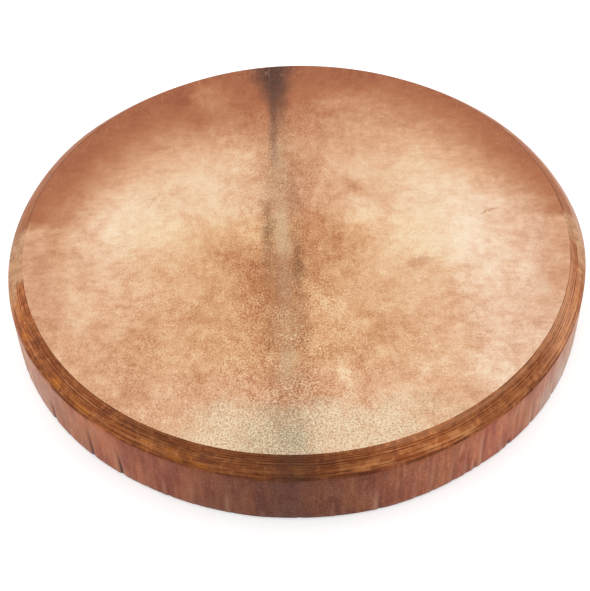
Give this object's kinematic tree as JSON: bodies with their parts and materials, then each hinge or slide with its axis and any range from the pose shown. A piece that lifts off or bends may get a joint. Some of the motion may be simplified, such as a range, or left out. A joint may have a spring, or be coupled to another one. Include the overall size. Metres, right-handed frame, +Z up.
{
  "type": "shaman drum",
  "caption": "Round frame drum: a rawhide skin over a chamfered laminated wood hoop, laced at the open back to a centre ring with a leather-wrapped cross grip.",
  "frame": {"origin": "middle of the drum in the plane of the surface that it rests on", "axes": "+Z up through the head, -Y towards the front of the picture, +X to its right"},
  "size_m": [0.5016, 0.5016, 0.063],
  "materials": {
    "rawhide_skin": "dry translucent rawhide, matt to satin",
    "bent_wood": "oiled bent plies",
    "rawhide_lace": "dry twisted rawhide",
    "forged_iron": "dark forged iron rod",
    "grip_leather": "wound dark brown leather strip"
  },
  "bodies": {
    "root": {"drum_skin": "rawhide_skin", "hoop_ply_1": "bent_wood", "hoop_ply_2": "bent_wood", "hoop_ply_3": "bent_wood", "hoop_ply_4": "bent_wood", "hoop_ply_5": "bent_wood", "hoop_ply_6": "bent_wood", "hoop_ply_7": "bent_wood", "hoop_ply_8": "bent_wood", "hoop_ply_9": "bent_wood", "lace_01": "rawhide_lace", "lace_02": "rawhide_lace", "lace_03": "rawhide_lace", "lace_04": "rawhide_lace", "lace_05": "rawhide_lace", "lace_06": "rawhide_lace", "lace_07": "rawhide_lace", "lace_08": "rawhide_lace", "lace_09": "rawhide_lace", "lace_10": "rawhide_lace", "lace_11": "rawhide_lace", "lace_12": "rawhide_lace", "lace_13": "rawhide_lace", "lace_14": "rawhide_lace", "lace_15": "rawhide_lace", "lace_16": "rawhide_lace", "lace_17": "rawhide_lace", "lace_18": "rawhide_lace", "lace_19": "rawhide_lace", "lace_20": "rawhide_lace", "lace_21": "rawhide_lace", "lace_22": "rawhide_lace", "lace_23": "rawhide_lace", "lace_24": "rawhide_lace", "centre_ring": "forged_iron", "grip_wrap_1": "grip_leather", "grip_wrap_2": "grip_leather", "grip_wrap_3": "grip_leather", "grip_wrap_4": "grip_leather"}
  },
  "joints": []
}
